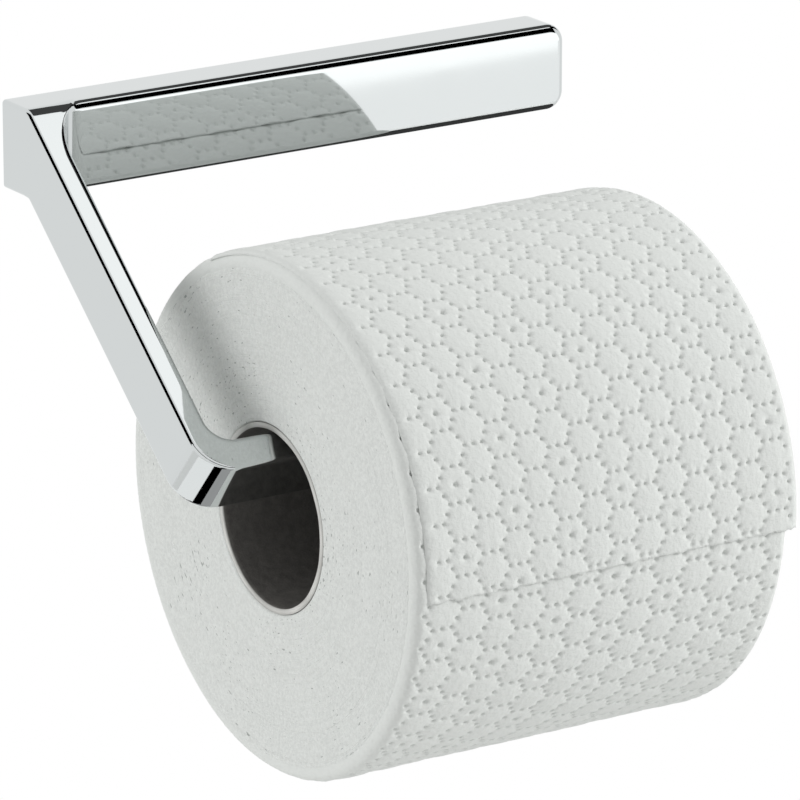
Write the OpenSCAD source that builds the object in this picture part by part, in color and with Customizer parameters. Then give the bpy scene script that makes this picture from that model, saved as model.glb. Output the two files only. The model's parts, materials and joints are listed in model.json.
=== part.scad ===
// Toilet paper holder: one chrome casting on two hidden wall brackets, with a paper roll on its bar.
// X runs along the wall, +Y points into the wall, +Z is up.
// The origin is the centre of the rail's face against the wall.

/* [Rail] */
// Length of the rail along the wall
rail_l = 147; // [125:1:200]
// Height of the rail
rail_h = 20.8; // [18:0.1:28]
// Depth of the rail, from the wall to its front face
rail_d = 11.5; // [11:0.1:16]
// Radius of the corners at the rail's right end, seen from the front
rail_corner_r = 4.5; // [1:0.1:6]
// Radius of the rail's long front edges
rail_edge_r = 1.25; // [0.5:0.05:2]

/* [Arm and bar] */
// How far the arm leans down from level
slope = 40.5; // [32:0.5:48]
// Thickness of the arm and the bar, square to the slope
plate_t = 16.2; // [13:0.1:18]
// Width of the arm along the wall
arm_w = 6.4; // [5:0.1:10]
// Length of the arm down the slope, from the rail's top edge to the bar's outer face
arm_l = 101; // [84:0.5:125]
// Width of the bar down the slope
bar_w = 8.4; // [6:0.1:10]
// Length of the bar, from the arm's outer face
bar_l = 140; // [135:1:175]
// Outer radius where the arm turns into the bar
bend_outer_r = 9.5; // [4:0.5:12]
// Inner radius where the arm turns into the bar
bend_inner_r = 5.5; // [3:0.5:10]
// Radius of the inner edges, which the roll rides on
plate_edge_r = 1.5; // [0.5:0.1:2]
// Radius of the fillet under the rail, behind the arm
root_fillet_r = 5; // [2:0.5:8]

/* [Wall brackets] */
// Distance from the middle of the rail to each bracket
bracket_x = 42; // [38:0.5:46]
// Width of a bracket
bracket_w = 36; // [26:0.5:40]
// Depth of a bracket from the wall
bracket_d = 7.4; // [6.6:0.1:8]
// Height of the bracket's pocket in the rail
pocket_h = 15; // [13.6:0.1:15.6]
// Room between the bracket's front and the pocket's end
pocket_front_gap = 0.8; // [0.4:0.1:1.2]
// Room at each side of the bracket in its pocket
pocket_side_gap = 1.5; // [0.5:0.1:3]
// Room under the bracket, which the grub screw takes up
pocket_under_gap = 0.8; // [0.4:0.1:1.2]
// Diameter of the seat for the wall screw's head
screw_head_d = 11; // [10.6:0.1:11.6]
// Depth of that seat from the bracket's front
screw_head_depth = 4; // [3:0.1:4.4]

/* [Eccentric bushes] */
// Outer diameter of the bush's barrel
bush_d = 8; // [7.6:0.1:8.6]
// Diameter of the bush's flange
bush_flange_d = 10.4; // [9.6:0.1:10.4]
// Thickness of the bush's flange
bush_flange_t = 1; // [0.6:0.1:1.4]
// Diameter of the wall screw's hole
screw_hole_d = 5.2; // [4.2:0.1:5.2]
// Offset of the screw hole from the bush's centre
bush_offset = 0.8; // [0:0.1:0.8]

/* [Grub screws] */
// Diameter of the grub screw
grub_d = 4; // [3:0.5:5]
// Length of its threaded body
grub_body_l = 4; // [3:0.1:5]
// Diameter of its tip
grub_tip_d = 2.5; // [1.6:0.1:2.6]
// Length of its tip
grub_tip_l = 1.2; // [0.9:0.1:1.6]
// Width across the flats of its hexagon socket
grub_hex = 2; // [1.5:0.1:2.1]
// Depth of the socket
grub_hex_depth = 1.8; // [1:0.1:2.4]

/* [Paper roll] */
// Outer diameter of the roll
roll_d = 120; // [90:1:122]
// Width of the roll
roll_w = 99.5; // [85:1:110]
// Inner diameter of the cardboard core
core_id = 41.2; // [38:0.2:50]
// Thickness of the core's wall
core_wall = 1.2; // [0.8:0.1:2]
// Distance from the arm's inner face to the roll's end
roll_side_gap = 13.6; // [9:0.1:16]
// Thickness of the outer turn of embossed paper
turn_t = 0.5; // [0.3:0.05:0.8]
// Length of the loose sheet, between two perforations
sheet_l = 125; // [90:1:140]
// How far the loose sheet's torn edge lies below the roll's foremost line
torn_edge_angle = 2; // [-10:1:30]
// Radius of the roll's soft rims
rim_r = 2.5; // [0.5:0.1:4]

/* [Clearances] */
// Radial clearance of a turning or slipping fit
run_clear = 0.05; // [0.02:0.01:0.1]
// Clearance between the bar's edge and the hanging core
hang_clear = 0.3; // [0.2:0.05:0.6]

/* [Hidden] */
$fn = 96;
eps = 0.01;
// How far the root fillet's round runs past the faces it blends, so that it crosses them cleanly
bite = 0.02;

// Rail
rail_left = -rail_l / 2;
rail_top = rail_h / 2;
corner_r_left = 0.8;

// Arm and bar, in the sloping plane that starts at the rail's top front edge
bar_inner = -arm_l + bar_w;
bend_centre_in = [arm_w + bend_inner_r, bar_inner + bend_inner_r];
// Place of the bar's inner top edge, before rounding
edge_y = -rail_d + bar_inner * cos(slope);
edge_z = rail_top + bar_inner * sin(slope);
// Centre of that edge's rounding, and its highest point, which the core hangs on
ride_y = edge_y + plate_edge_r * (sin(slope) - cos(slope));
ride_z = edge_z - plate_edge_r * (sin(slope) + cos(slope));
ride_top = ride_z + plate_edge_r;
// Where the arm's back meets the rail's underside
arm_back_y = -rail_d + plate_t * sin(slope) - (rail_h - plate_t * cos(slope)) / tan(slope);

// Brackets
bracket_h = pocket_h - pocket_under_gap;
pocket_top = pocket_h / 2;
bracket_mid_z = pocket_top - bracket_h / 2;
pocket_d = bracket_d + pocket_front_gap;
pocket_w = bracket_w + 2 * pocket_side_gap;
seat_d = grub_tip_d + 0.4;
seat_depth = 0.8;
grub_top = bracket_mid_z - bracket_h / 2 + seat_depth;

// Roll
roll_axis_y = ride_y;
roll_axis_z = ride_top + hang_clear - core_id / 2;
roll_left = rail_left + arm_w + roll_side_gap;
roll_r = roll_d / 2;
core_r = core_id / 2 + core_wall;
winding_r = roll_r - turn_t;
sheet_angle = sheet_l / (roll_r + turn_t / 2) * 180 / PI;

// Puts a shape drawn in the arm's own plane in place: x along the wall, y up the slope, z off its face
module on_slope() {
    translate([rail_left, -rail_d, rail_top])
        rotate([slope, 0, 0])
            children();
}

// Puts a shape drawn around Z onto the roll's axis, starting at the roll's left end
module on_roll_axis() {
    translate([roll_left, roll_axis_y, roll_axis_z])
        rotate([0, 90, 0])
            children();
}

// A square corner less its inscribed round, for cutting a rounded edge
module edge_section(r) {
    difference() {
        translate([-eps, -eps]) square(r + eps);
        translate([r, r]) circle(r);
    }
}

// Outline of the rail seen from the front
module rail_outline() {
    difference() {
        translate([rail_left, -rail_h / 2]) square([rail_l, rail_h]);
        for (side = [-1, 1]) {
            translate([rail_left, side * rail_h / 2])
                turned_corner(1, -side, corner_r_left);
            translate([-rail_left, side * rail_h / 2])
                turned_corner(-1, -side, rail_corner_r);
        }
    }
}

// The corner cutter turned so that its round opens towards +X or -X and +Y or -Y
module turned_corner(x_way, y_way, r) {
    turn = x_way > 0 ? (y_way > 0 ? 0 : -90) : (y_way > 0 ? 90 : 180);
    rotate(turn) edge_section(r);
}

// The rail with its rounded front edges
module rail_block() {
    difference() {
        rotate([90, 0, 0]) linear_extrude(rail_d) rail_outline();
        translate([rail_left - 1, -rail_d, rail_top])
            rotate([90, 0, 90]) linear_extrude(rail_l + 2) rotate(-90) edge_section(rail_edge_r);
        translate([rail_left - 1, -rail_d, -rail_top])
            rotate([90, 0, 90]) linear_extrude(rail_l + 2) edge_section(rail_edge_r);
    }
}

// Outline of the arm and bar in their sloping plane
module arm_outline() {
    difference() {
        union() {
            translate([0, -arm_l]) square([arm_w, arm_l]);
            translate([0, -arm_l]) square([bar_l, bar_w]);
            translate([arm_w - eps, bar_inner - eps]) square(bend_inner_r + eps);
        }
        translate(bend_centre_in) circle(bend_inner_r);
        translate([0, -arm_l]) edge_section(bend_outer_r);
        translate([bar_l, -arm_l]) rotate(90) edge_section(plate_edge_r);
        translate([bar_l, bar_inner]) rotate(180) edge_section(plate_edge_r);
    }
}

// Rounds the inner edge all the way down the arm, round the bend and along the bar
module inner_edge_cut() {
    translate([arm_w, bend_centre_in[1], 0])
        rotate([-90, 0, 0]) linear_extrude(arm_l) rotate(90) edge_section(plate_edge_r);
    translate([bend_centre_in[0], bar_inner, 0])
        rotate([90, 0, 90]) linear_extrude(bar_l) rotate(180) edge_section(plate_edge_r);
    translate([bend_centre_in[0], bend_centre_in[1], 0])
        rotate(180) rotate_extrude(angle = 90)
            translate([bend_inner_r, 0]) rotate(-90) edge_section(plate_edge_r);
}

// Arm and bar as one bent plate
module arm_and_bar() {
    difference() {
        on_slope() translate([0, 0, -plate_t]) linear_extrude(plate_t) arm_outline();
        on_slope() inner_edge_cut();
        on_slope() translate([0, 0, -plate_t]) mirror([0, 0, 1]) inner_edge_cut();
    }
}

// Fillet between the arm's back and the rail's underside
module root_fillet() {
    reach = root_fillet_r * tan(slope / 2);
    centre = [arm_back_y + reach, -rail_top - root_fillet_r];
    foot = [arm_back_y - reach * cos(slope), -rail_top - reach * sin(slope)];
    translate([rail_left, 0, 0])
        rotate([90, 0, 90])
            linear_extrude(arm_w)
                difference() {
                    polygon([
                        foot, [centre[0], -rail_top], [centre[0], -rail_top + 1],
                        [arm_back_y - 1, -rail_top + 1], foot + [-1, 1]
                    ]);
                    translate(centre) circle(root_fillet_r + bite);
                }
}

// Hole for one grub screw through the rail's lower wall
module grub_hole(x) {
    translate([x, -bracket_d / 2, -rail_top - 1])
        cylinder(h = rail_top - pocket_h / 2 + 2, r = grub_d / 2);
}

// The chrome casting: rail, arm and bar in one piece
module holder_casting() {
    color([0.86, 0.88, 0.88])
        difference() {
            union() {
                rail_block();
                intersection() {
                    arm_and_bar();
                    translate([rail_left - 1, -2 * arm_l, -2 * arm_l])
                        cube([2 * rail_l, 2 * arm_l - eps, 4 * arm_l]);
                }
                root_fillet();
            }
            for (side = [-1, 1]) {
                translate([side * bracket_x - pocket_w / 2, -pocket_d, -pocket_h / 2])
                    cube([pocket_w, pocket_d + 1, pocket_h]);
                grub_hole(side * bracket_x);
            }
        }
}

// A zinc block that the rail hangs on, screwed to the wall through its bush
module bracket(side) {
    color([0.62, 0.64, 0.66])
        translate([side * bracket_x, 0, bracket_mid_z])
            difference() {
                translate([-bracket_w / 2, -bracket_d, -bracket_h / 2])
                    cube([bracket_w, bracket_d, bracket_h]);
                rotate([90, 0, 0]) translate([0, 0, -1])
                    cylinder(h = bracket_d + 2, r = bush_d / 2 + run_clear);
                translate([0, -bracket_d + screw_head_depth, 0]) rotate([90, 0, 0])
                    cylinder(h = screw_head_depth + 1, r = screw_head_d / 2);
                translate([0, -bracket_d / 2, -bracket_h / 2 - 1])
                    cylinder(h = seat_depth + 1, r = seat_d / 2);
            }
}

// A plastic bush with its hole off centre, which levels the rail when it is turned
module bush(side) {
    barrel_l = bracket_d - screw_head_depth;
    color([0.93, 0.93, 0.9])
        translate([side * bracket_x, 0, bracket_mid_z])
            rotate([90, 0, 0])
                difference() {
                    union() {
                        cylinder(h = barrel_l + bush_flange_t, r = bush_d / 2);
                        translate([0, 0, barrel_l])
                            cylinder(h = bush_flange_t, r = bush_flange_d / 2);
                    }
                    translate([side * bush_offset, 0, -1])
                        cylinder(h = bracket_d + 2, r = screw_hole_d / 2);
                }
}

// A grub screw in the rail's lower wall, its tip seated in the bracket
module grub_screw(side) {
    color([0.45, 0.46, 0.48])
        translate([side * bracket_x, -bracket_d / 2, grub_top - grub_tip_l - grub_body_l])
            difference() {
                union() {
                    cylinder(h = grub_body_l, r = grub_d / 2 - run_clear);
                    cylinder(h = grub_body_l + grub_tip_l, r = grub_tip_d / 2);
                }
                translate([0, 0, -1])
                    cylinder(h = grub_hex_depth + 1, r = grub_hex / 2 / cos(30), $fn = 6);
            }
}

// The cardboard tube that hangs on the bar
module cardboard_core() {
    color([0.42, 0.39, 0.36])
        on_roll_axis()
            difference() {
                cylinder(h = roll_w, r = core_r);
                translate([0, 0, -1]) cylinder(h = roll_w + 2, r = core_id / 2);
            }
}

// Half section of the wound paper, with its soft rims
module winding_section() {
    inner = core_r + run_clear;
    difference() {
        translate([inner, 0]) square([winding_r - inner, roll_w]);
        translate([winding_r, 0]) rotate(90) edge_section(rim_r);
        translate([winding_r, roll_w]) rotate(180) edge_section(rim_r);
    }
}

// The wound paper inside the outer turn
module paper_winding() {
    color([0.93, 0.94, 0.93])
        on_roll_axis() rotate_extrude() winding_section();
}

// The last full turn of paper, which lies on the winding between its soft rims
module outer_turn() {
    color([0.95, 0.96, 0.95])
        on_roll_axis()
            rotate_extrude()
                translate([winding_r, rim_r]) square([turn_t, roll_w - 2 * rim_r]);
}

// The free sheet over the front, from its perforation down to its torn edge
module loose_sheet() {
    color([0.97, 0.98, 0.97])
        on_roll_axis()
            rotate(torn_edge_angle - 90 - sheet_angle)
                rotate_extrude(angle = sheet_angle)
                    translate([roll_r, rim_r]) square([turn_t, roll_w - 2 * rim_r]);
}

holder_casting();
bracket(-1);  // bracket_left
bracket(1);  // bracket_right
bush(-1);  // bush_left
bush(1);  // bush_right
grub_screw(-1);  // grub_screw_left
grub_screw(1);  // grub_screw_right
cardboard_core();
paper_winding();
outer_turn();
loose_sheet();
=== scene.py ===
"""Looks of the toilet paper holder: a chrome casting on wall brackets, with an embossed roll on its bar.

Named sizes are in millimetres, and MM turns them to metres.
"""

import json
import math

import bmesh
import bpy
import numpy as np
from mathutils import Matrix, Vector
from mathutils.geometry import delaunay_2d_cdt

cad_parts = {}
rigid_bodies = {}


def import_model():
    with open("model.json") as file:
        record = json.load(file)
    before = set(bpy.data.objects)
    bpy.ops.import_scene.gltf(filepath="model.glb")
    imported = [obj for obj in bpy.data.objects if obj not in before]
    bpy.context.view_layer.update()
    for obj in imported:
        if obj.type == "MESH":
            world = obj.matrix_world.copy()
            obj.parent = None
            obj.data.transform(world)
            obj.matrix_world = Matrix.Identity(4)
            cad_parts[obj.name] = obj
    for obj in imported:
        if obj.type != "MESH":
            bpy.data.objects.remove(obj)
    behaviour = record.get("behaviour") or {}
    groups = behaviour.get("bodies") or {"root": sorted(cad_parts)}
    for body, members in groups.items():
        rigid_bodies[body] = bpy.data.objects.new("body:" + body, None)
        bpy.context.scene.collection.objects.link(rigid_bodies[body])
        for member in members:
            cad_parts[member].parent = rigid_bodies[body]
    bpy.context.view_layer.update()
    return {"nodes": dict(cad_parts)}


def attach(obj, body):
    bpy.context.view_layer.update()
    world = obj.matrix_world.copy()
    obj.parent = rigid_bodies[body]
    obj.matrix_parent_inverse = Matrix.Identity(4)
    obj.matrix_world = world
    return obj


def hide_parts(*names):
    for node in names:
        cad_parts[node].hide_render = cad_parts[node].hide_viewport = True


MM = 0.001

# Rail
RAIL_L, RAIL_H, RAIL_D = 147.0, 20.8, 11.5
RAIL_CORNER_R, RAIL_EDGE_R, TOP_EDGE_R, REAR_EDGE_R = 4.5, 2.1, 1.1, 0.3

# Arm and bar
SLOPE = math.radians(40.5)
PLATE_T, ARM_W, ARM_L, BAR_W, BAR_L = 16.2, 6.4, 101.0, 8.4, 140.0
BEND_OUTER_R, BEND_INNER_R = 9.5, 5.5
INNER_EDGE_R, OUTER_EDGE_R, BAR_END_R = 2.4, 0.9, 0.8
ROOT_BLEND, SIDE_BLEND, ROOT_R = 1.2, 2.0, 7.9

# Pockets for the brackets, and the grub screws' holes
BRACKET_X, POCKET_HALF_W, POCKET_D, POCKET_HALF_H = 42.0, 19.5, 8.2, 7.5
GRUB_R, GRUB_Y = 2.0, -3.7
POCKET_EDGE_R, GRUB_EDGE_R, GRUB_OVERLAP = 0.4, 0.3, 0.5

# Paper roll
ROLL_R, ROLL_W = 60.0, 99.5
CORE_R, CORE_WALL = 20.6, 1.2
ROLL_LEFT, AXIS_Y, AXIS_Z = -53.5, -82.08, -70.654
RIM_R = 2.6
WINDING_INSET, SKIN_INSET, PLY_T = 1.65, 1.5, 0.16

# Embossing: hexagons of small dots, with a larger dot in the middle of every second cell
# of every second column
COLUMN, ROW = 6.95, 8.02
FIRST_COLUMN = 10.3
DOT_R, MIDDLE_DOT_R = 0.60, 0.76
DOT_DEPTH, QUILT_DEPTH, QUILT_REACH = 0.60, 0.27, 1.35
STRIP_KINDS, TURN_STRIPS, SHEET_STRIPS = 4, 94, 31
TURN_START, SHEET_START = 7.4 - 4 * ROW, 3.5 - SHEET_STRIPS * ROW / 2
SHEET_DRIFT, SHEET_LIFT = 2.2, 0.10

# How far the turn and the sheet bend over the rims, in radians
TURN_BEND, SHEET_BEND = 2.3, 0.9

# How deep the sheet presses the turn in, and how high the turn stands where the sheet starts
PRESSED_IN, START_RISE = 1.05, 0.45

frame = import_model()


# ---------------------------------------------------------------- small helpers

def linear(hex_colour):
    """An sRGB hex colour as linear RGBA."""
    values = [int(hex_colour[i:i + 2], 16) / 255 for i in (1, 3, 5)]
    return [v / 12.92 if v <= 0.04045 else ((v + 0.055) / 1.055) ** 2.4 for v in values] + [1.0]


def add_node(tree, kind, settings=None, **links):
    """Adds a node. settings holds its properties and unlinked inputs, by name or by place.

    links joins inputs to sockets: an input's name with _ for a space, or in_ and its place.
    """
    node = tree.nodes.new(kind)
    for name, value in (settings or {}).items():
        if isinstance(name, int) or name in node.inputs:
            node.inputs[name].default_value = value
        else:
            setattr(node, name, value)
    for name, socket in links.items():
        key = int(name[3:]) if name.startswith("in_") else name.replace("_", " ")
        tree.links.new(socket, node.inputs[key])
    return node


def new_material(name, colour, roughness, **settings):
    """A material, its tree and its Principled shader, with the shader's own sockets set."""
    material = bpy.data.materials.new(name)
    material.use_nodes = True
    shader = material.node_tree.nodes["Principled BSDF"]
    shader.inputs["Base Color"].default_value = linear(colour)
    shader.inputs["Roughness"].default_value = roughness
    for key, value in settings.items():
        shader.inputs[key.replace("_", " ")].default_value = value
    material.diffuse_color = linear(colour)
    return material, material.node_tree, shader


def mesh_object(name, points, faces, material, smooth=True):
    """A mesh object from points in metres, in the row frame."""
    mesh = bpy.data.meshes.new(name)
    mesh.from_pydata(np.asarray(points).tolist(), [], np.asarray(faces).tolist() if len(faces) else [])
    mesh.polygons.foreach_set("use_smooth", np.full(len(mesh.polygons), smooth))
    mesh.materials.append(material)
    mesh.update()
    piece = bpy.data.objects.new(name, mesh)
    bpy.context.scene.collection.objects.link(piece)
    return piece


def smooth_step(low, high, value):
    """0 below low, 1 above high, and a smooth rise between them."""
    t = np.clip((value - low) / (high - low), 0, 1)
    return t * t * (3 - 2 * t)


def wave_noise(seed, waves, *coordinates):
    """Smooth noise of about -1 to 1, as a sum of sine waves.

    waves is how many there are, then the fewest and the most waves per unit.
    """
    rng = np.random.default_rng(seed)
    total = 0
    for _ in range(waves[0]):
        way = rng.normal(size=len(coordinates))
        way *= rng.uniform(waves[1], waves[2]) / np.linalg.norm(way)
        total = total + np.sin(2 * math.pi * (sum(w * c for w, c in zip(way, coordinates)) + rng.uniform()))
    return total / math.sqrt(waves[0])


# ---------------------------------------------------------------- materials

def polished_chrome():
    """Chromium plate on polished brass: mirror-like and slightly cool, with a haze in 11 mm patches."""
    material, tree, shader = new_material("polished_chrome_plate", "#CFD3D3", 0.035, Metallic=1.0)
    place = add_node(tree, "ShaderNodeTexCoord")
    haze = add_node(tree, "ShaderNodeTexNoise", {"Scale": 90.0, "Detail": 3.0},
                    Vector=place.outputs["Object"])
    spread = add_node(tree, "ShaderNodeMapRange", {"To Min": 0.02, "To Max": 0.05},
                      Value=haze.outputs["Fac"])
    tree.links.new(spread.outputs["Result"], shader.inputs["Roughness"])
    return material


def cast_zinc():
    """Pressure die-cast zinc, tumbled: dull grey, with a faint 1.1 mm mottle."""
    material, tree, shader = new_material("die_cast_zinc", "#A3A7AA", 0.42, Metallic=1.0)
    place = add_node(tree, "ShaderNodeTexCoord")
    grain = add_node(tree, "ShaderNodeTexNoise", {"Scale": 900.0, "Detail": 4.0},
                     Vector=place.outputs["Object"])
    spread = add_node(tree, "ShaderNodeMapRange", {"To Min": 0.34, "To Max": 0.52},
                      Value=grain.outputs["Fac"])
    bump = add_node(tree, "ShaderNodeBump", {"Strength": 0.35, "Distance": 0.00008},
                    Height=grain.outputs["Fac"])
    tree.links.new(spread.outputs["Result"], shader.inputs["Roughness"])
    tree.links.new(bump.outputs["Normal"], shader.inputs["Normal"])
    return material


def moulded_acetal():
    """Injection-moulded acetal: milky white and satin, with the texture of a spark-eroded mould.

    The real texture is finer. It is drawn 0.6 mm apart so that it shows.
    """
    material, tree, shader = new_material("moulded_acetal", "#E9E8E2", 0.38, IOR=1.48)
    place = add_node(tree, "ShaderNodeTexCoord")
    grain = add_node(tree, "ShaderNodeTexNoise", {"Scale": 1800.0, "Detail": 2.0},
                     Vector=place.outputs["Object"])
    bump = add_node(tree, "ShaderNodeBump", {"Strength": 0.3, "Distance": 0.00004},
                    Height=grain.outputs["Fac"])
    tree.links.new(bump.outputs["Normal"], shader.inputs["Normal"])
    return material


def turned_steel():
    """Machined stainless steel: grey metal with turning marks 0.45 mm apart round the screw's axis."""
    material, tree, shader = new_material("turned_stainless_steel", "#8C9094", 0.3, Metallic=1.0)
    place = add_node(tree, "ShaderNodeTexCoord")
    marks = add_node(tree, "ShaderNodeTexWave", {"bands_direction": "Z", "Scale": 700.0, "Distortion": 0.6},
                     Vector=place.outputs["Object"])
    bump = add_node(tree, "ShaderNodeBump", {"Strength": 0.3, "Distance": 0.00004},
                    Height=marks.outputs["Fac"])
    tree.links.new(bump.outputs["Normal"], shader.inputs["Normal"])
    return material


def roll_radius(tree, place):
    """A socket with the distance from the roll's axis, in metres."""
    centre = add_node(tree, "ShaderNodeMapping",
                      {"Location": (0, -AXIS_Y * MM, -AXIS_Z * MM), "Scale": (0, 1, 1)}, Vector=place)
    length = add_node(tree, "ShaderNodeVectorMath", {"operation": "LENGTH"}, in_0=centre.outputs["Vector"])
    return length.outputs["Value"]


def roll_turn(tree, place):
    """A socket with the angle round the roll's axis, in radians."""
    centre = add_node(tree, "ShaderNodeMapping", {"Location": (0, -AXIS_Y * MM, -AXIS_Z * MM)},
                      Vector=place)
    parts = add_node(tree, "ShaderNodeSeparateXYZ", {}, Vector=centre.outputs["Vector"])
    angle = add_node(tree, "ShaderNodeMath", {"operation": "ARCTAN2"}, in_0=parts.outputs["Z"],
                     in_1=parts.outputs["Y"])
    return angle.outputs["Value"]


def embossed_tissue():
    """Two-ply tissue: matt cool white, with creping wrinkles across the web, about 0.7 mm apart.

    Soft lumps of 1.6 mm lie under them.
    """
    material, tree, shader = new_material("embossed_tissue", "#E2E5E2", 0.92, Sheen_Weight=0.06, IOR=1.4)
    across = add_node(tree, "ShaderNodeUVMap", {"uv_map": "web"})
    stretch = add_node(tree, "ShaderNodeMapping", {"Scale": (450.0, 1500.0, 1.0)},
                       Vector=across.outputs["UV"])
    crepe = add_node(tree, "ShaderNodeTexNoise", {"Scale": 1.0, "Detail": 4.0, "Roughness": 0.6},
                     Vector=stretch.outputs["Vector"])
    lumps = add_node(tree, "ShaderNodeTexNoise", {"Scale": 620.0, "Detail": 3.0, "Roughness": 0.55},
                     Vector=across.outputs["UV"])
    height = add_node(tree, "ShaderNodeMath", {"operation": "MULTIPLY_ADD", 1: 2.2},
                      in_0=lumps.outputs["Fac"], in_2=crepe.outputs["Fac"])
    bump = add_node(tree, "ShaderNodeBump", {"Strength": 0.8, "Distance": 0.00016},
                    Height=height.outputs["Value"])
    tree.links.new(bump.outputs["Normal"], shader.inputs["Normal"])
    return material


def tissue_edges():
    """The cut edges of many turns of tissue: matt white, with concentric layers, torn fibres and dark dashes
    of painted shade where the cut face is pitted.

    The real layers are about 0.2 mm apart. They are drawn about 0.4 mm apart so that they show.
    """
    material, tree, shader = new_material("cut_tissue_edges", "#E3E6E3", 0.95, Sheen_Weight=0.05, IOR=1.4)
    place = add_node(tree, "ShaderNodeTexCoord")
    radius = roll_radius(tree, place.outputs["Object"])
    wobble = add_node(tree, "ShaderNodeTexNoise", {"Scale": 60.0, "Detail": 2.0},
                      Vector=place.outputs["Object"])
    shift = add_node(tree, "ShaderNodeMath", {"operation": "MULTIPLY_ADD", 1: 0.0012},
                     in_0=wobble.outputs["Fac"], in_2=radius)
    layers = add_node(tree, "ShaderNodeTexNoise", {"noise_dimensions": "1D", "Scale": 2600.0, "Detail": 3.0},
                      W=shift.outputs["Value"])
    fibres = add_node(tree, "ShaderNodeTexNoise", {"Scale": 1300.0, "Detail": 5.0, "Roughness": 0.65},
                      Vector=place.outputs["Object"])
    height = add_node(tree, "ShaderNodeMath", {"operation": "MULTIPLY_ADD", 1: 0.55},
                      in_0=layers.outputs["Fac"], in_2=fibres.outputs["Fac"])
    bump = add_node(tree, "ShaderNodeBump", {"Strength": 0.9, "Distance": 0.00038},
                    Height=height.outputs["Value"])
    tree.links.new(bump.outputs["Normal"], shader.inputs["Normal"])
    around = add_node(tree, "ShaderNodeCombineXYZ", {},
                      X=roll_turn(tree, place.outputs["Object"]), Y=radius)
    grain = add_node(tree, "ShaderNodeMapping", {"Scale": (22.0, 1500.0, 1.0)},
                     Vector=around.outputs["Vector"])
    # Painted shade: dark grey dashes mixed into the base colour, in random patches, where the cut face is
    # pitted; the shape has no hollows there.
    pit_shade = add_node(tree, "ShaderNodeTexNoise", {"Scale": 1.0, "Detail": 1.5, "Roughness": 0.5},
                    Vector=grain.outputs["Vector"])
    patches = add_node(tree, "ShaderNodeTexNoise", {"Scale": 45.0, "Detail": 1.0},
                       Vector=place.outputs["Object"])
    dark = add_node(tree, "ShaderNodeMath", {"operation": "MULTIPLY_ADD", 1: 0.35},
                    in_0=patches.outputs["Fac"], in_2=pit_shade.outputs["Fac"])
    tone = add_node(tree, "ShaderNodeMapRange",
                    {"From Min": 0.855, "From Max": 0.915, "To Min": 0.0, "To Max": 0.75},
                    Value=dark.outputs["Value"])
    mottle = add_node(tree, "ShaderNodeMapRange", {"From Min": 0.38, "From Max": 0.62},
                      Value=fibres.outputs["Fac"])
    plain = add_node(tree, "ShaderNodeMix",
                     {"data_type": "RGBA", 6: linear("#DFE2DF"), 7: linear("#EBEEEB")},
                     Factor=mottle.outputs["Result"])
    # The painted pit shade colour, mixed over the paper's own mottle.
    mix = add_node(tree, "ShaderNodeMix", {"data_type": "RGBA", 7: linear("#8D928E")},
                   Factor=tone.outputs["Result"])
    tree.links.new(plain.outputs[2], mix.inputs[6])
    tree.links.new(mix.outputs[2], shader.inputs["Base Color"])
    return material


def recycled_board():
    """Spiral-wound recycled board: dark grey, with flecks of fibre from 2 mm down, paler where it is cut."""
    material, tree, shader = new_material("recycled_board", "#6B6660", 0.9, IOR=1.4)
    place = add_node(tree, "ShaderNodeTexCoord")
    fibres = add_node(tree, "ShaderNodeTexNoise", {"Scale": 480.0, "Detail": 6.0, "Roughness": 0.75},
                      Vector=place.outputs["Object"])
    tone = add_node(tree, "ShaderNodeMix",
                    {"data_type": "RGBA", 6: linear("#3A3937"), 7: linear("#807D79")},
                    Factor=fibres.outputs["Fac"])
    where = add_node(tree, "ShaderNodeSeparateXYZ", {}, Vector=place.outputs["Object"])
    middle = (ROLL_LEFT + ROLL_W / 2) * MM
    off = add_node(tree, "ShaderNodeMath", {"operation": "SUBTRACT", 1: middle}, in_0=where.outputs["X"])
    out = add_node(tree, "ShaderNodeMath", {"operation": "ABSOLUTE"}, in_0=off.outputs["Value"])
    cut = add_node(tree, "ShaderNodeMapRange",
                   {"From Min": (ROLL_W / 2 - 0.5) * MM, "From Max": (ROLL_W / 2 - 0.1) * MM},
                   Value=out.outputs["Value"])
    both = add_node(tree, "ShaderNodeMix", {"data_type": "RGBA", 7: linear("#DCDCD8")},
                    Factor=cut.outputs["Result"])
    tree.links.new(tone.outputs[2], both.inputs[6])
    tree.links.new(both.outputs[2], shader.inputs["Base Color"])
    bump = add_node(tree, "ShaderNodeBump", {"Strength": 0.8, "Distance": 0.0003},
                    Height=fibres.outputs["Fac"])
    tree.links.new(bump.outputs["Normal"], shader.inputs["Normal"])
    return material


def pale_floor():
    """A matt white studio floor."""
    return new_material("matt_white_floor", "#F1F1F0", 0.9)[0]


# ---------------------------------------------------------------- the chrome casting

def outer_round(a, b, r):
    """Distance to the solid inside both a and b, with their outward corner rounded by r."""
    a, b = a + r, b + r
    return np.minimum(np.maximum(a, b), 0) + np.hypot(np.maximum(a, 0), np.maximum(b, 0)) - r


def inner_fillet(a, b, r):
    """Distance to the solid made of a and b together, with their inward corner filled by r."""
    return np.maximum(r, np.minimum(a, b)) - np.hypot(np.maximum(r - a, 0), np.maximum(r - b, 0))


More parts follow.
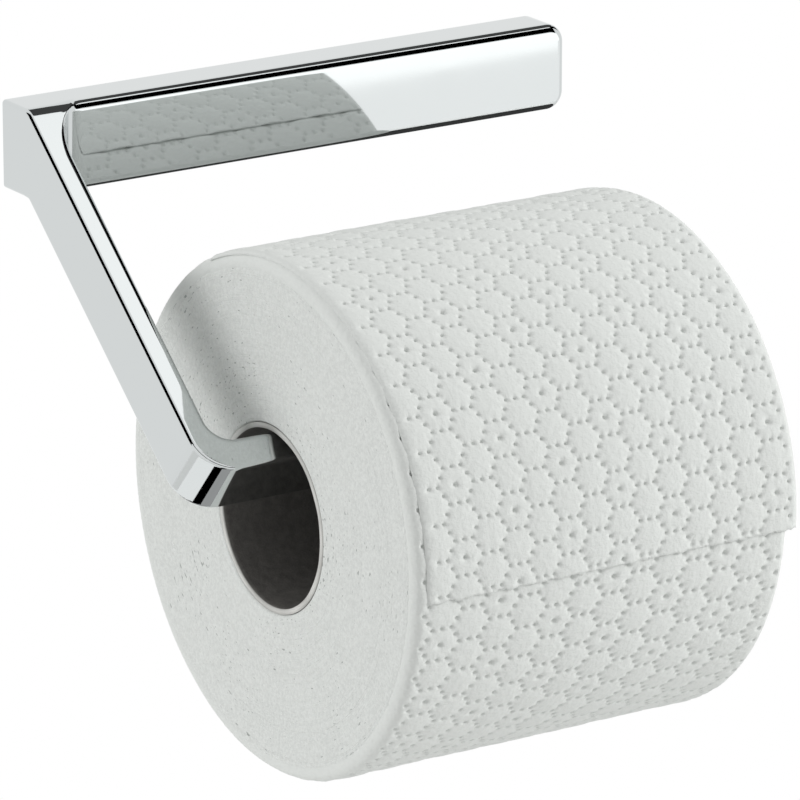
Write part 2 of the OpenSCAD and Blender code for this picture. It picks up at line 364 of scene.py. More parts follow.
def root_step(x, front, ahead):
    """Distance near the arm's root, at heights where its top is only ahead of the rail's front by a little.

    A wide hollow curve of ROOT_R rises from the rail's front and turns over into the arm's sloping top.
    """
    steep = math.sin(SLOPE)
    rising = np.radians(np.linspace(0, 90, 181)[:-1])
    over = np.arctan(steep * np.tan(rising))
    reach = ROOT_R * (1 - np.cos(rising)) + INNER_EDGE_R * (1 - np.cos(over)) / steep
    angle = np.interp(ahead, reach, rising)
    foot = -RAIL_L / 2 + ARM_W + ROOT_R
    change = foot - ROOT_R * np.sin(angle)
    crest = change - INNER_EDGE_R * np.sin(np.arctan(steep * np.tan(angle)))
    over_top = steep * (front - ahead)
    hollow = ROOT_R - np.hypot(foot - x, np.maximum(ROOT_R - front, 0))
    ridge = np.hypot(x - crest, np.maximum(INNER_EDGE_R + over_top, 0)) - INNER_EDGE_R
    return np.where(x > foot, front, np.where(x > change, hollow, np.where(x > crest, ridge, over_top)))


def casting_distance(x, y, z):
    """Signed distance to the casting: rail, arm and bar in one, less the pockets at the back."""
    left, top = -RAIL_L / 2, RAIL_H / 2
    down = -(y + RAIL_D) * math.cos(SLOPE) - (z - top) * math.sin(SLOPE)
    above = -(y + RAIL_D) * math.sin(SLOPE) + (z - top) * math.cos(SLOPE)
    wall, between = x - left - ARM_W, np.maximum(above, -PLATE_T - above)
    notch = outer_round(-wall, down - (ARM_L - BAR_W), BEND_INNER_R)
    plate = outer_round(between, -notch, INNER_EDGE_R)
    plate = outer_round(plate, x - (left + BAR_L), BAR_END_R)
    front = -RAIL_D - y
    blend = ROOT_BLEND + (SIDE_BLEND - ROOT_BLEND) * np.clip((z + top) / 3, 0, 1)
    low = inner_fillet(outer_round(front, -top - z, RAIL_EDGE_R), plate, blend)
    root = outer_round(inner_fillet(front, wall, ROOT_R), between, INNER_EDGE_R)
    low = np.minimum(low, outer_round(root, -top - z, RAIL_EDGE_R))
    ahead = np.maximum(0, (top - z) / math.tan(SLOPE))
    left_half = np.where(ahead < ROOT_R + INNER_EDGE_R / math.sin(SLOPE), root_step(x, front, ahead), low)
    top_edge = TOP_EDGE_R + (RAIL_EDGE_R - TOP_EDGE_R) * smooth_step(0, ROOT_R, wall)
    left_half = outer_round(left_half, z - top, top_edge)
    right_half = outer_round(front, outer_round(np.abs(z) - top, x + left, RAIL_CORNER_R), RAIL_EDGE_R)
    body = np.where(x < 0, left_half, np.minimum(right_half, plate))
    body = outer_round(body, outer_round(left - x, down - ARM_L, BEND_OUTER_R), OUTER_EDGE_R)
    body = outer_round(body, y, REAR_EDGE_R)
    side = np.abs(np.abs(x) - BRACKET_X)
    pocket = np.maximum(np.maximum(side - POCKET_HALF_W, np.abs(z) - POCKET_HALF_H), -POCKET_D - y)
    body = outer_round(body, -pocket, POCKET_EDGE_R)
    grub_hole = np.maximum(np.hypot(side, y - GRUB_Y) - GRUB_R, z + POCKET_HALF_H - GRUB_OVERLAP)
    return outer_round(body, -grub_hole, GRUB_EDGE_R)


def graded(low, high, fine_spots, coarse, growth=0.35):
    """Grid lines from low to high that are fine around each (place, reach, step) and coarse elsewhere."""
    lines = [low]
    while lines[-1] < high:
        here = lines[-1]
        step = coarse
        for place, reach, fine in fine_spots:
            step = min(step, fine + growth * max(0.0, abs(here - place) - reach))
        lines.append(here + step)
    return np.array(lines)


def net_faces(corner_ids, sign):
    """Faces between the points of neighbouring cells, one for each grid edge that crosses the surface."""
    faces = []
    for axis in range(3):
        b, c = (axis + 1) % 3, (axis + 2) % 3
        near = [slice(None)] * 3
        far = [slice(None)] * 3
        near[axis], far[axis] = slice(0, -1), slice(1, None)
        for other in (b, c):
            near[other] = far[other] = slice(1, -1)
        s0, s1 = sign[tuple(near)], sign[tuple(far)]
        hit = np.argwhere(s0 != s1)
        start = hit.copy()
        start[:, b] += 1
        start[:, c] += 1
        ring = []
        for ob, oc in ((1, 1), (0, 1), (0, 0), (1, 0)):
            cell = start.copy()
            cell[:, b] -= ob
            cell[:, c] -= oc
            ring.append(corner_ids[tuple(cell.T)])
        quad = np.stack(ring, 1)
        inward = s0[tuple(hit.T)]
        quad[~inward] = quad[~inward][:, ::-1]
        faces.append(quad)
    return np.concatenate(faces)


def surface_net(distance, xs, ys, zs):
    """A closed mesh of the surface where distance is 0, on a grid with lines xs, ys, zs."""
    values = np.empty((len(xs), len(ys), len(zs)), np.float32)
    gy, gz = np.meshgrid(ys, zs, indexing="ij")
    for i, x in enumerate(xs):
        values[i] = distance(np.full_like(gy, x), gy, gz)
    sign = values < 0
    counts = sum(sign[i:len(xs) - 1 + i, j:len(ys) - 1 + j, k:len(zs) - 1 + k].astype(np.int8)
                 for i in (0, 1) for j in (0, 1) for k in (0, 1))
    cells = np.argwhere((counts > 0) & (counts < 8))
    ids = np.full(counts.shape, -1, np.int64)
    ids[tuple(cells.T)] = np.arange(len(cells))
    i, j, k = cells.T
    total, weight = np.zeros((len(cells), 3)), np.zeros(len(cells))
    lines = (xs, ys, zs)
    offsets = [(a, b, c) for a in (0, 1) for b in (0, 1) for c in (0, 1)]
    for p in offsets:
        for axis in range(3):
            if p[axis]:
                continue
            q = tuple(v + (n == axis) for n, v in enumerate(p))
            v0, v1 = values[i + p[0], j + p[1], k + p[2]], values[i + q[0], j + q[1], k + q[2]]
            crossing = (v0 < 0) != (v1 < 0)
            t = np.where(crossing, v0 / np.where(v0 == v1, 1, v0 - v1), 0)
            spot = np.stack([lines[n][cells[:, n] + p[n]]
                             + t * (n == axis) * (lines[n][cells[:, n] + q[n]] - lines[n][cells[:, n] + p[n]])
                             for n in range(3)], 1)
            total += spot * crossing[:, None]
            weight += crossing
    points = total / weight[:, None]
    return points, net_faces(ids, sign)


def slope_of(distance, points, h=0.02):
    """The distance and its gradient at each point."""
    value = distance(*points.T)
    gradient = np.stack([distance(*(points + h * np.eye(3)[n]).T) - distance(*(points - h * np.eye(3)[n]).T)
                         for n in range(3)], 1) / (2 * h)
    return value, gradient


def make_casting(material):
    """Rail, arm and bar as one polished piece."""
    left = -RAIL_L / 2
    bar_end = left + BAR_L
    step = 0.5
    spots = [(left + 0.2, 0.5, 0.14), (left + 5, 5, 0.3), (left + ARM_W, 2.5, 0.25), (bar_end, 1, 0.3),
             (-left - 2, 2.6, 0.35)]
    for side in (-1, 1):
        spots += [(side * BRACKET_X, 2.4, 0.35)]
        spots += [(side * BRACKET_X + end * POCKET_HALF_W, 0.6, 0.25) for end in (-1, 1)]
    xs = graded(left - 0.6, -left + 0.6, spots, 3.0)
    ys = np.arange(-144.0, 1.0, step) + 0.13
    zs = np.arange(-75.0, 12.0, step) + 0.17
    points, faces = surface_net(casting_distance, xs, ys, zs)
    for _ in range(4):
        value, gradient = slope_of(casting_distance, points)
        size = np.maximum((gradient ** 2).sum(1), 0.25)
        points = points - np.clip(value / size, -0.4, 0.4)[:, None] * gradient
    _, gradient = slope_of(casting_distance, points, 0.03)
    normals = gradient / np.linalg.norm(gradient, axis=1)[:, None]
    piece = mesh_object("chrome_casting", points * MM, faces, material)
    piece.data.normals_split_custom_set_from_vertices(normals.tolist())
    return piece


# ---------------------------------------------------------------- embossed paper

def embossed_dots(x, t, flip):
    """Places and radii of the dots between the limits x and t. flip moves the larger dots one cell along."""
    dots = []
    for column in range(-3, 22):
        cx = FIRST_COLUMN + COLUMN * column
        even = column % 2 == 0
        for cell in range(-2, 3):
            centre = cell * ROW + (0 if even else ROW / 2)
            edge = centre + ROW / 2
            dots += [(cx + dx, edge, DOT_R) for dx in (-COLUMN / 3, 0, COLUMN / 3)]
            dots += [(cx + COLUMN / 2, centre + way * ROW / 4, DOT_R) for way in (-1, 1)]
            if even and (column // 2 + cell + flip) % 2 == 0:
                dots.append((cx, centre, MIDDLE_DOT_R))
    dots = np.array(dots)
    return dots[(dots[:, 0] > x[0]) & (dots[:, 0] < x[1]) & (dots[:, 1] > t[0]) & (dots[:, 1] < t[1])]


def emboss_height(points, dots):
    """Height of the web: each dot is a small pit in a wide soft dip, so the cells puff up between them."""
    gap = np.hypot(points[:, None, 0] - dots[None, :, 0], points[:, None, 1] - dots[None, :, 1])
    pit = (1 - smooth_step(0.45 * dots[:, 2], 1.05 * dots[:, 2], gap)) * DOT_DEPTH * (dots[:, 2] / DOT_R)
    dip = np.exp(-(gap / QUILT_REACH) ** 2) * QUILT_DEPTH
    return -pit.max(1) - np.minimum(dip.sum(1), 1.6 * QUILT_DEPTH)


def web_strip(kind):
    """One strip of the web, half a row long: its points follow the dots, so each dot is round and crisp."""
    margin, between_fillers, clear_of_dots, edge_points = 1.3, 1.15, 0.3, 111
    flip, half = divmod(kind, 2)
    t0 = ROW / 8 + half * ROW / 2
    t1 = t0 + ROW / 2
    dots = embossed_dots((-2, ROLL_W + 2), (t0 - 4.2, t1 + 4.2), flip)
    dots = dots[(dots[:, 0] > margin) & (dots[:, 0] < ROLL_W - margin)]
    inside = dots[(dots[:, 1] > t0) & (dots[:, 1] < t1)]
    edge_x = np.linspace(0, ROLL_W, edge_points)
    points = [np.stack([edge_x, np.full_like(edge_x, t)], 1) for t in (t0, t1)]
    edge_t = np.linspace(t0, t1, 6)[1:-1]
    points += [np.stack([np.full_like(edge_t, x), edge_t], 1) for x in (0, ROLL_W)]
    for cx, ct, r in inside:
        points.append(np.array([[cx, ct]]))
        for share, count in ((0.55, 6), (1.0, 10)):
            turn = np.arange(count) * 2 * math.pi / count + 0.3 * share
            points.append(np.stack([cx + share * r * np.cos(turn), ct + share * r * np.sin(turn)], 1))
    gx, gt = np.meshgrid(np.arange(0.9, ROLL_W - 0.5, between_fillers), np.arange(4), indexing="ij")
    filler = np.stack([gx.ravel() + 0.55 * (gt.ravel() % 2), t0 + 0.5 + gt.ravel() * 1.0], 1)
    clear = np.hypot(filler[:, None, 0] - inside[None, :, 0], filler[:, None, 1] - inside[None, :, 1])
    filler = filler[((clear - inside[None, :, 2]).min(1) > clear_of_dots) & (filler[:, 0] < ROLL_W - 0.4)]
    points = np.concatenate(points + [filler])
    out = delaunay_2d_cdt([Vector(p) for p in points], [], [], 0, 1e-5)
    flat = np.array([tuple(v) for v in out[0]])
    height = emboss_height(flat, dots)
    points = np.column_stack([flat[:, 0], flat[:, 1] - t0, height]) * MM
    strip = mesh_object(f"strip_{kind}", points, out[2], WHITE)
    bpy.context.scene.collection.objects.unlink(strip)
    return strip


def web_tree(strips):
    """Geometry Nodes: lays the strips side by side in order, joins them and gives them their material."""
    tree = bpy.data.node_groups.new("lay_embossed_strips", "GeometryNodeTree")
    sockets = tree.interface
    sockets.new_socket("Geometry", in_out="INPUT", socket_type="NodeSocketGeometry")
    sockets.new_socket("Geometry", in_out="OUTPUT", socket_type="NodeSocketGeometry")
    for name, kind, value in (("Strip count", "NodeSocketInt", 10), ("First strip", "NodeSocketInt", 0),
                              ("Strip length", "NodeSocketFloat", ROW / 2 * MM),
                              ("Join distance", "NodeSocketFloat", 0.03 * MM)):
        sockets.new_socket(name, in_out="INPUT", socket_type=kind).default_value = value
    sockets.new_socket("Paper", in_out="INPUT", socket_type="NodeSocketMaterial")
    given = add_node(tree, "NodeGroupInput")
    ask = {s.name: s for s in given.outputs}
    apart = add_node(tree, "ShaderNodeCombineXYZ", {}, Y=ask["Strip length"])
    line = add_node(tree, "GeometryNodeMeshLine", {}, Count=ask["Strip count"],
                    Offset=apart.outputs["Vector"])
    index = add_node(tree, "GeometryNodeInputIndex")
    count = add_node(tree, "ShaderNodeMath", {"operation": "ADD"}, in_0=index.outputs[0],
                     in_1=ask["First strip"])
    pick = add_node(tree, "ShaderNodeMath", {"operation": "MODULO", 1: float(STRIP_KINDS)},
                    in_0=count.outputs["Value"])
    kinds = add_node(tree, "GeometryNodeCollectionInfo",
                     {"Collection": strips, "Separate Children": True, "Reset Children": True})
    laid = add_node(tree, "GeometryNodeInstanceOnPoints", {"Pick Instance": True},
                    Points=line.outputs["Mesh"], Instance=kinds.outputs["Instances"],
                    Instance_Index=pick.outputs["Value"])
    real = add_node(tree, "GeometryNodeRealizeInstances", {}, Geometry=laid.outputs["Instances"])
    joined = add_node(tree, "GeometryNodeMergeByDistance", {}, Geometry=real.outputs["Geometry"],
                      Distance=ask["Join distance"])
    paper = add_node(tree, "GeometryNodeSetMaterial", {}, Geometry=joined.outputs["Geometry"],
                     Material=ask["Paper"])
    add_node(tree, "NodeGroupOutput", {}, Geometry=paper.outputs["Geometry"])
    return tree


def lay_web(name, tree, count, first, material):
    """A flat embossed web of so many strips, as a plain mesh: x across, y along, z up, in metres."""
    holder = mesh_object(name + "_holder", [(0, 0, 0)], [], material)
    modifier = holder.modifiers.new("web", "NODES")
    modifier.node_group = tree
    keys = {s.name: s.identifier for s in tree.interface.items_tree if s.in_out == "INPUT"}
    modifier[keys["Strip count"]] = count
    modifier[keys["First strip"]] = first
    modifier[keys["Paper"]] = material
    bpy.context.view_layer.update()
    mesh = bpy.data.meshes.new_from_object(holder.evaluated_get(bpy.context.evaluated_depsgraph_get()))
    bpy.data.objects.remove(holder)
    mesh.name = name
    piece = bpy.data.objects.new(name, mesh)
    bpy.context.scene.collection.objects.link(piece)
    return piece


def mesh_points(piece):
    """A piece's points, in metres."""
    flat = np.empty(len(piece.data.vertices) * 3)
    piece.data.vertices.foreach_get("co", flat)
    return flat.reshape(-1, 3)


def set_points(piece, points):
    """Moves a piece's points, given in metres."""
    piece.data.vertices.foreach_set("co", np.ascontiguousarray(points, dtype=np.float64).ravel())
    piece.data.update()


def add_web_map(piece, points):
    """A UV map in metres: across the web and along it."""
    layer = piece.data.uv_layers.new(name="web")
    loops = np.empty(len(piece.data.loops), np.int64)
    piece.data.loops.foreach_get("vertex_index", loops)
    layer.data.foreach_set("uv", points[loops][:, :2].ravel())


def on_roll(across, along, radius):
    """Places on the roll, in metres: across from its left end, along down from its foremost line."""
    angle = along / ROLL_R
    y, z = AXIS_Y - radius * np.cos(angle), AXIS_Z - radius * np.sin(angle)
    return np.stack([ROLL_LEFT + across, y, z], 1) * MM


def rim_profile(across, bend):
    """How a turn bends over the roll's soft rims, by up to bend radians: its place across and its drop."""
    side = np.minimum(across, ROLL_W - across)
    curve = RIM_R * bend
    arc = np.clip((curve - side) / RIM_R, 0, bend)
    flat_part = RIM_R + (side - curve) * (ROLL_W / 2 - RIM_R) / (ROLL_W / 2 - curve)
    inset = np.where(side < curve, RIM_R * (1 - np.sin(arc)), flat_part)
    return np.where(across < ROLL_W / 2, inset, ROLL_W - inset), RIM_R * (1 - np.cos(arc))


def roll_waviness(across, angle):
    """Slow unevenness of a soft roll."""
    return 0.10 * wave_noise(5, (10, 0.01, 0.03), across, ROLL_R * np.cos(angle), ROLL_R * np.sin(angle))


def pressed_under_sheet(across, along):
    """1 where the free sheet lies on the turn and presses it in, 0 where the turn shows."""
    length = SHEET_STRIPS * ROW / 2
    since = np.mod(along - SHEET_START, 2 * math.pi * ROLL_R)
    ends = smooth_step(1.5, 5.0, since) * smooth_step(0.8, 5.0, length - since)
    from_left = across - SHEET_DRIFT * since / length
    return ends * (smooth_step(1.5, 5.0, from_left) * smooth_step(1.0, 4.0, ROLL_W - across))


def make_outer_turn(tree, material):
    """The last full turn: embossed all over, its edges over the rims, closed by a plain inner skin."""
    piece = lay_web("embossed_turn", tree, TURN_STRIPS, 2, material)
    flat = mesh_points(piece) / MM
    add_web_map(piece, flat * MM)
    length = TURN_STRIPS * ROW / 2
    along = flat[:, 1] * (2 * math.pi * ROLL_R / length) + TURN_START
    across, drop = rim_profile(flat[:, 0], TURN_BEND)
    angle = along / ROLL_R
    start = SHEET_START / ROLL_R
    since = np.mod(start - angle, 2 * math.pi)
    rise = START_RISE * np.clip(1 - since / 1.2, 0, 1) ** 2 * smooth_step(0, 0.01, since)
    plain_edge, full_emboss, edge_share = 4.0, 5.6, 0.03
    fade = smooth_step(plain_edge, full_emboss, np.minimum(flat[:, 0], ROLL_W - flat[:, 0]))
    covered = pressed_under_sheet(across, along)
    height = flat[:, 2] * (edge_share + (1 - edge_share) * fade) * (1 - 0.8 * covered) - PRESSED_IN * covered
    radius = ROLL_R - 0.08 + height - drop + rise * (1 - covered) + roll_waviness(across, angle)
    points = on_roll(across, along, radius)
    first, last = (np.flatnonzero(row) for row in (flat[:, 1] < 1e-3, flat[:, 1] > length - 1e-3))
    points[first[np.argsort(flat[first, 0])]] = points[last[np.argsort(flat[last, 0])]]
    set_points(piece, points)
    close_turn(piece, flat)
    return piece


def close_turn(piece, flat):
    """Adds a plain inner skin between the web's two long edges, then joins its first strip to its last."""
    form = bmesh.new()
    form.from_mesh(piece.data)
    form.verts.ensure_lookup_table()
    sides = [np.flatnonzero(side) for side in (flat[:, 0] < 1e-3, flat[:, 0] > ROLL_W - 1e-3)]
    sides = [ids[np.argsort(flat[ids, 1])] for ids in sides]
    rings = [[form.verts[i] for i in ids] for ids in sides]
    skins = []
    for ring, x in zip(rings, (ROLL_LEFT + 3, ROLL_LEFT + ROLL_W - 3)):
        skin = []
        for v in ring:
            out = Vector((0, v.co.y - AXIS_Y * MM, v.co.z - AXIS_Z * MM)).normalized()
            out = out * (ROLL_R - SKIN_INSET) * MM
            skin.append(form.verts.new((x * MM, out.y + AXIS_Y * MM, out.z + AXIS_Z * MM)))
        skins.append(skin)
    loops = (rings[0], skins[0], skins[1], rings[1])
    for a, b in zip(loops, loops[1:]):
        for i in range(len(a) - 1):
            form.faces.new((a[i], a[i + 1], b[i + 1], b[i]))
    bmesh.ops.remove_doubles(form, verts=form.verts, dist=0.01 * MM)
    if form.calc_volume(signed=True) < 0:
        bmesh.ops.reverse_faces(form, faces=form.faces)
    form.to_mesh(piece.data)
    form.free()
    piece.data.polygons.foreach_set("use_smooth", np.full(len(piece.data.polygons), True))


def make_loose_sheet(tree, material):
    """The free sheet: it lies on the roll, drifts to the right, and its torn edge stands a little off."""
    piece = lay_web("loose_paper_sheet", tree, SHEET_STRIPS, 3, material)
    flat = mesh_points(piece) / MM
    add_web_map(piece, flat * MM)
    length = SHEET_STRIPS * ROW / 2
    along = flat[:, 1] + SHEET_START
    torn = smooth_step(length - 0.02, length, flat[:, 1])
    teeth = 0.35 * np.abs(np.sin(math.pi * flat[:, 0] / 1.9))
    teeth = teeth + 0.25 * wave_noise(9, (6, 0.05, 0.4), flat[:, 0])
    along = along + torn * teeth
    free = flat[:, 1] / length
    across, drop = rim_profile(flat[:, 0], SHEET_BEND)
    across = across + SHEET_DRIFT * free
    side = np.minimum(flat[:, 0], ROLL_W - flat[:, 0])
    lift = SHEET_LIFT * smooth_step(length - 16, length, flat[:, 1])
    lift = lift * (1 + 0.5 * wave_noise(13, (5, 0.008, 0.03), flat[:, 0]))
    fade = smooth_step(0.0, 1.6, side)
    angle = along / ROLL_R
    settled = 0.3 - 0.14 * smooth_step(length - 9, length, flat[:, 1])
    settled = settled - 0.14 * (1 - smooth_step(0, 3.5, side))
    radius = ROLL_R + settled + flat[:, 2] * (0.35 + 0.65 * fade) - drop * (1 - 0.6 * free) + lift
    set_points(piece, on_roll(across, along, radius + roll_waviness(across, angle)))
    solid = piece.modifiers.new("ply", "SOLIDIFY")
    solid.thickness = PLY_T * MM
    solid.offset = -1
    bpy.context.view_layer.update()
    mesh = bpy.data.meshes.new_from_object(piece.evaluated_get(bpy.context.evaluated_depsgraph_get()))
    piece.modifiers.clear()
    piece.data = mesh
    piece.data.polygons.foreach_set("use_smooth", np.full(len(piece.data.polygons), True))
    return piece


def turned_shell(name, across, radius, offsets, segments, material):
    """A closed shell round the roll's axis, from a closed profile.

    offsets takes across, radius and angle, and gives how far each point moves across and outwards.
    """
    angle = np.arange(segments) * 2 * math.pi / segments
    a, t = np.meshgrid(across, angle, indexing="ij")
    r = np.meshgrid(radius, angle, indexing="ij")[0]
    da, dr = offsets(a, r, t)
    a, r = a + da, r + dr
    points = np.stack([ROLL_LEFT + a, AXIS_Y - r * np.cos(t), AXIS_Z - r * np.sin(t)], -1)
    points = points.reshape(-1, 3) * MM
    rows, columns = np.meshgrid(np.arange(len(across)), np.arange(segments), indexing="ij")
    after_row, after_column = (rows + 1) % len(across), (columns + 1) % segments
    ids = [r * segments + c for r, c in ((rows, columns), (rows, after_column), (after_row, after_column),
                                         (after_row, columns))]
    return mesh_object(name, points, np.stack(ids, -1).reshape(-1, 4), material)


def make_winding(material):
    """The wound paper: end faces of many thin turns, slightly uneven, and soft rims."""
    inner, outer = CORE_R + CORE_WALL + 0.05, ROLL_R - WINDING_INSET
    face = np.arange(inner + 0.4, outer - RIM_R, 0.55)
    turn = np.linspace(0, math.pi / 2, 9)
    rim_a, rim_r = RIM_R * (1 - np.sin(turn)), outer - RIM_R + RIM_R * np.cos(turn)
    left_a = np.concatenate([[0.5], np.zeros(len(face)), rim_a[::-1]])
    left_r = np.concatenate([[inner], face, rim_r[::-1]])
    across = np.concatenate([left_a, ROLL_W - left_a[::-1]])
    radius = np.concatenate([left_r, left_r[::-1]])
    rng = np.random.default_rng(21)
    turns = rng.normal(size=400)

    def unevenness(a, r, t):
        on_face = np.clip((r - inner) / 1.5, 0, 1) * np.clip((outer - 1 - r) / 8.0, 0, 1)
        spot = r + 0.25 * wave_noise(3, (4, 0.1, 0.5), np.cos(t), np.sin(t))
        layer = np.interp(spot * 2.2, np.arange(400), turns)
        slow = wave_noise(8, (8, 0.01, 0.05), r * np.cos(t), r * np.sin(t))
        out = on_face * (0.045 * layer + 0.22 * slow)
        inward = np.maximum(out, 0) + 0.05
        return np.where(a < ROLL_W / 2, inward, -inward), 0 * r

    return turned_shell("paper_turns", across, radius, unevenness, 300, material)


def make_core(material):
    """The board tube: two spiral plies with a fine step inside, and slightly furred ends."""
    outer, inner = CORE_R + CORE_WALL, CORE_R
    recess = 0.15
    x = np.linspace(0, ROLL_W, 70)
    across = np.concatenate([[recess], x[1:-1], [ROLL_W - recess], [ROLL_W - recess], [recess]])
    radius = np.concatenate([np.full(len(x), inner), [outer, outer]])

    def plies(a, r, t):
        inside = r < (inner + outer) / 2
        seam = np.mod(a / 60 + t / (2 * math.pi), 1)
        step = 0.14 * smooth_step(0, 0.03, seam) * (1 - smooth_step(0.03, 1, seam))
        ends = (a < 0.2) | (a > ROLL_W - 0.2)
        fur = 0.10 * wave_noise(31, (8, 0.5, 3.0), np.cos(t), np.sin(t))
        return np.where(ends, fur * np.sign(ROLL_W / 2 - a) * 0.5, 0), np.where(inside, -step + 0.07, 0)

    return turned_shell("board_tube", across[::-1], radius[::-1], plies, 160, material)


# ---------------------------------------------------------------- studio

def add_camera():
    """The camera, at the height and distance of a long studio lens."""
    azimuth, height, distance, focal, side, up_by = 32.94, 17.295, 1606.0, 7000.7, -4.234, 21.144
    target = Vector((0, -45.0, -39.6))
    az, el = math.radians(azimuth), math.radians(height)
    back = Vector((-math.sin(az) * math.cos(el), -math.cos(az) * math.cos(el), math.sin(el)))
    right = Vector((math.cos(az), -math.sin(az), 0))
    up = back.cross(right)
    data = bpy.data.cameras.new("studio_camera")
    data.sensor_width = 36.0
    data.lens = data.sensor_width * focal / 800
    data.clip_start, data.clip_end = 0.05, 30.0
    camera = bpy.data.objects.new("studio_camera", data)
    place = (target + distance * back - side * right - up_by * up) * MM
    camera.matrix_world = Matrix.Translation(place) @ Matrix((right, up, back)).transposed().to_4x4()
    bpy.context.scene.collection.objects.link(camera)
    bpy.context.scene.camera = camera


def add_world(seen, shed):
    """White all round, as in a light tent.

    seen is how bright it looks, and shed how much it lights matt pieces.
    """
    world = bpy.data.worlds.new("light_tent")
    world.use_nodes = True
    tree = world.node_tree
    ray = add_node(tree, "ShaderNodeLightPath")
    level = add_node(tree, "ShaderNodeMapRange", {"To Min": seen, "To Max": shed},
                     Value=ray.outputs["Is Diffuse Ray"])
    tree.links.new(level.outputs["Result"], tree.nodes["Background"].inputs["Strength"])
    tree.nodes["Background"].inputs["Color"].default_value = (1, 1, 1, 1)
    bpy.context.scene.world = world


def glowing(name, brightness):
    """A card's evenly lit white face."""
    material = bpy.data.materials.new(name)
    material.use_nodes = True
    tree = material.node_tree
    tree.nodes.clear()
    lit = add_node(tree, "ShaderNodeEmission", {"Color": linear("#FFFFFF"), "Strength": brightness})
    add_node(tree, "ShaderNodeOutputMaterial", {}, Surface=lit.outputs["Emission"])
    return material


def studio_card(name, centre, across, along, brightness):
    """A card that only the chrome sees. across and along are its half sizes as vectors, in metres."""
    c, u, v = Vector(centre), Vector(across), Vector(along)
    points = [c - u - v, c + u - v, c + u + v, c - u + v]
    face = glowing(name + "_face", brightness)
    card = mesh_object(name, [tuple(p) for p in points], [(0, 1, 2, 3)], face, False)
    card.visible_camera = card.visible_diffuse = card.visible_shadow = card.visible_transmission = False


def card_between(name, first, last, width, brightness):
    """A studio card that fills the directions from first to last, seen from the object.

    width is in metres.
    """
    away = 1.2
    a, b = Vector(first).normalized() * away, Vector(last).normalized() * away
    across = (b - a).cross(a + b).normalized() * width / 2
    studio_card(name, Vector((0, -0.05, -0.02)) + (a + b) / 2, across, (b - a) / 2, brightness)


def area_light(name, place, target, size, power):
    """A square light at place, turned to target. The chrome doesn't mirror it."""
    data = bpy.data.lights.new(name, "AREA")
    data.shape, data.size, data.energy = "SQUARE", size, power
    light = bpy.data.objects.new(name, data)
    way = Vector(target) - Vector(place)
    light.matrix_world = Matrix.Translation(place) @ way.to_track_quat("-Z", "Y").to_matrix().to_4x4()
    light.visible_glossy = False
    bpy.context.scene.collection.objects.link(light)


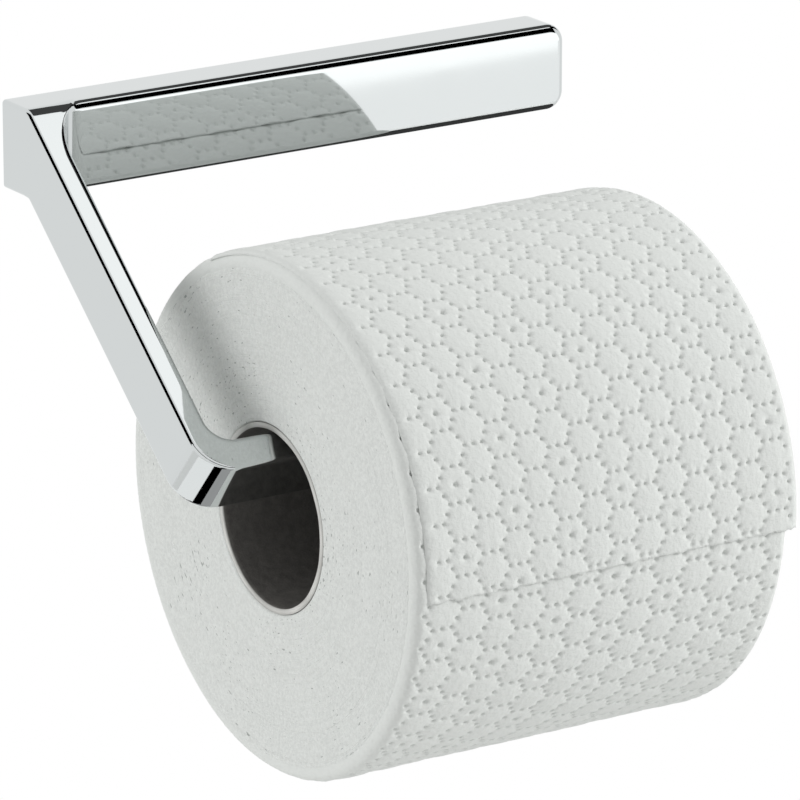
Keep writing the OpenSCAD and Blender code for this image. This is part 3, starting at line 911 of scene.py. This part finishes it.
def add_studio():
    """Floor, lights and the cards that draw the bright and dark lines in the chrome."""
    floor_z, card_z = -0.42, -0.40
    corners = [(x, y, floor_z) for x, y in ((-0.7, -0.75), (0.7, -0.75), (0.7, 0.38), (-0.7, 0.38))]
    floor = mesh_object("studio_floor", corners, [(0, 1, 2, 3)], pale_floor(), False)
    middle = (0, -0.08, -0.06)
    area_light("key_light", (1.26, -0.90, 0.47), middle, 0.6, 14.5)
    area_light("top_light", (0.1, 0.5, 1.2), middle, 0.8, 2.2)
    area_light("fill_light", (-1.17, 0.40, 0.30), middle, 0.9, 6.0)
    card_between("bright_top_card", (0.519, -0.08, 0.85), (0.519, -0.25, 0.815), 0.9, 1.35)
    card_between("bright_front_card", (0.519, -0.80, -0.24), (0.519, -0.60, -0.6), 1.1, 1.22)
    card_between("white_front_card", (0.519, -0.84, 0.10), (0.519, -0.80, -0.24), 1.1, 1.6)
    card_between("dark_back_strip", (0.519, 0.62, 0.59), (0.519, -0.085, 0.85), 0.7, 0.07)
    card_between("dark_front_strip", (0.519, -0.255, 0.815), (0.519, -0.82, 0.22), 0.9, 0.0)
    card_between("dark_left_card", (-0.45, -0.15, 0.88), (-0.85, 0.52, 0.04), 0.7, 0.0)
    card_between("dark_near_left_card", (-0.76, -0.15, 0.60), (-0.60, -0.76, 0.23), 0.3, 0.0)
    card_between("dark_near_card", (-0.60, -0.76, 0.23), (0.25, -0.95, -0.12), 0.3, 0.0)
    card_between("dark_right_card", (0.64, -0.10, 0.76), (0.907, 0.30, 0.29), 0.4, 0.0)
    studio_card("bright_floor_card", (-0.31, 0.05, card_z), (0.11, 0, 0), (0, 0.3, 0), 1.12)
    studio_card("dark_low_card", (0.315, 0.02, card_z), (0.165, 0, 0), (0, 0.46, 0), 0.05)
    studio_card("dark_floor_card", (-0.150, -0.05, card_z), (0.045, 0, 0), (0, 0.3, 0), 0.0)
    studio_card("grey_floor_card", (0.02, -0.05, card_z), (0.125, 0, 0), (0, 0.3, 0), 0.42)


# ---------------------------------------------------------------- the whole

def paint(node, material):
    """Gives a CAD piece its material."""
    materials = frame["nodes"][node].data.materials
    materials.clear()
    materials.append(material)


def place(piece, body, nodes, slot):
    """A finished piece rides on its body and stands for its CAD nodes. slot is not used."""
    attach(piece, body)
    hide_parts(*nodes)


bpy.context.scene.view_settings.view_transform = "Standard"
add_camera()
add_world(1.0, 0.55)
WHITE = pale_floor()

chrome, tissue = polished_chrome(), embossed_tissue()
place(make_casting(chrome), "holder", ["holder_casting"], "chrome_plate")
zinc, acetal, steel = cast_zinc(), moulded_acetal(), turned_steel()
for hand in ("left", "right"):
    paint("bracket_" + hand, zinc)
    paint("bush_" + hand, acetal)
    paint("grub_screw_" + hand, steel)

place(make_core(recycled_board()), "core", ["cardboard_core"], "cardboard")
place(make_winding(tissue_edges()), "paper", ["paper_winding"], "tissue_edge")

strip_set = bpy.data.collections.new("web_strips")
for number in range(STRIP_KINDS):
    strip_set.objects.link(web_strip(number))
strip_tree = web_tree(strip_set)
place(make_outer_turn(strip_tree, tissue), "paper", ["outer_turn"], "embossed_tissue")
sheet = make_loose_sheet(strip_tree, tissue)
place(sheet, "paper", ["loose_sheet"], "embossed_tissue")
for strip in list(strip_set.objects):
    bpy.data.objects.remove(strip)
bpy.data.collections.remove(strip_set)
bpy.data.node_groups.remove(strip_tree)

add_studio()
